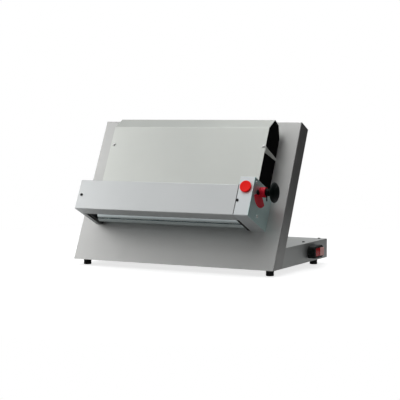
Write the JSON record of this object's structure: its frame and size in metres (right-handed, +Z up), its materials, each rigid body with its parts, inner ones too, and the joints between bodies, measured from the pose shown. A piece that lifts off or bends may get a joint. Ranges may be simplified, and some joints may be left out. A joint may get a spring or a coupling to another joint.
{
  "type": "dough sheeter",
  "caption": "Table-top dough sheeter: leaning stainless panel on a flat base, geared roller pair under a long cover, dough slide above, side gap knob and red stop button.",
  "frame": {"origin": "on the table, under the middle of the base box", "axes": "+X to the machine's right along the rollers, front faces -Y, +Z up"},
  "size_m": [0.7209, 0.4979, 0.4563],
  "materials": {
    "stainless": "satin brushed stainless sheet",
    "roller_steel": "polished steel",
    "zinc_steel": "zinc-plated steel",
    "dark_screw": "blackened",
    "gear_steel": "machined, oiled",
    "cheek_anodised": "black anodised",
    "cast_aluminium": "machined",
    "bronze": "sintered bronze",
    "motor_paint": "satin paint",
    "black_plastic": "fine grained",
    "red_plastic": "gloss",
    "foot_rubber": "matt",
    "belt_rubber": "matt"
  },
  "bodies": {
    "frame": {"panel_shell": "stainless", "panel_back_cover": "stainless", "base_side_walls": "stainless", "base_rear_wall": "stainless", "base_top_frame": "stainless", "base_top_cover": "stainless", "base_bottom_plate": "zinc_steel", "foot_front_left": "foot_rubber", "foot_front_right": "foot_rubber", "foot_rear_left": "foot_rubber", "foot_rear_right": "foot_rubber", "cable_gland": "black_plastic", "control_box": "black_plastic", "switch_housing": "black_plastic", "left_cheek": "cheek_anodised", "right_cheek": "cheek_anodised", "cheek_bolts": "zinc_steel", "pivot_pins": "zinc_steel", "rear_roller_bushes": "bronze", "rear_scraper": "stainless", "front_cover": "stainless", "left_end_cover": "stainless", "rear_infeed_guide": "stainless", "front_infeed_guide": "stainless", "right_housing": "stainless", "right_side_plate": "stainless", "hood_sheet": "stainless", "hood_cheek_left": "black_plastic", "hood_cheek_right": "black_plastic", "hood_tabs": "stainless", "drive_belt": "belt_rubber", "motor": "motor_paint", "gearbox": "cast_aluminium", "motor_bracket": "zinc_steel", "knob_bushes": "bronze", "scale_plate": "red_plastic", "tail_spring": "zinc_steel", "stop_collar": "black_plastic", "stop_contact_block": "black_plastic", "cover_screws": "dark_screw"},
    "swing_frame": {"left_swing_arm": "zinc_steel", "right_swing_arm": "zinc_steel", "tie_bar": "zinc_steel", "front_roller_bushes": "bronze", "front_scraper": "stainless"},
    "front_roller": {"front_roller_sleeve": "roller_steel", "front_roller_shaft": "zinc_steel", "front_roller_gear": "gear_steel"},
    "rear_roller": {"rear_roller_sleeve": "roller_steel", "rear_roller_shaft": "zinc_steel", "rear_roller_gear": "gear_steel", "roller_pulley": "cast_aluminium"},
    "motor_output": {"motor_pulley": "cast_aluminium", "output_shaft": "zinc_steel"},
    "gap_setting": {"gap_knob": "black_plastic", "knob_shaft": "zinc_steel", "gap_cam": "zinc_steel", "knob_pointer": "black_plastic"},
    "stop_button": {"stop_button": "red_plastic"},
    "main_rocker": {"main_rocker": "red_plastic"}
  },
  "joints": [
    {"name": "roller_gap_swing", "type": "hinge", "parent": "frame", "child": "swing_frame", "pos_m": [0.251, -0.21803, 0.24763], "axis": [-1, 0, 0], "range_deg": [0, 4.11]},
    {"name": "front_roller_spin", "type": "hinge", "parent": "swing_frame", "child": "front_roller", "pos_m": [-0.015, -0.22593, 0.20048], "axis": [1, 0, 0], "continuous": true},
    {"name": "rear_roller_spin", "type": "hinge", "parent": "frame", "child": "rear_roller", "pos_m": [-0.015, -0.17106, 0.17454], "axis": [1, 0, 0], "continuous": true},
    {"name": "motor_output_spin", "type": "hinge", "parent": "frame", "child": "motor_output", "pos_m": [0.261, -0.08387, 0.33021], "axis": [1, 0, 0], "continuous": true},
    {"name": "gap_knob_turn", "type": "hinge", "parent": "frame", "child": "gap_setting", "pos_m": [0.2955, -0.18759, 0.24651], "axis": [-1, 0, 0], "range_deg": [0, 80]},
    {"name": "stop_button_press", "type": "slide", "parent": "frame", "child": "stop_button", "axis": [0, 0.9041, -0.4274], "range_m": [0, 0.002], "stiffness_N_per_m": 400, "springref_m": -0.002},
    {"name": "main_rocker_tilt", "type": "hinge", "parent": "frame", "child": "main_rocker", "pos_m": [0.366, 0.082, 0.0495], "axis": [0, 0, 1], "range_deg": [0, 12]}
  ],
  "couplings": [
    {"joint": "front_roller_spin", "follows": "rear_roller_spin", "ratio": -1},
    {"joint": "motor_output_spin", "follows": "rear_roller_spin", "ratio": 1.6154},
    {"joint": "gap_knob_turn", "follows": "roller_gap_swing", "ratio": 19.463}
  ]
}
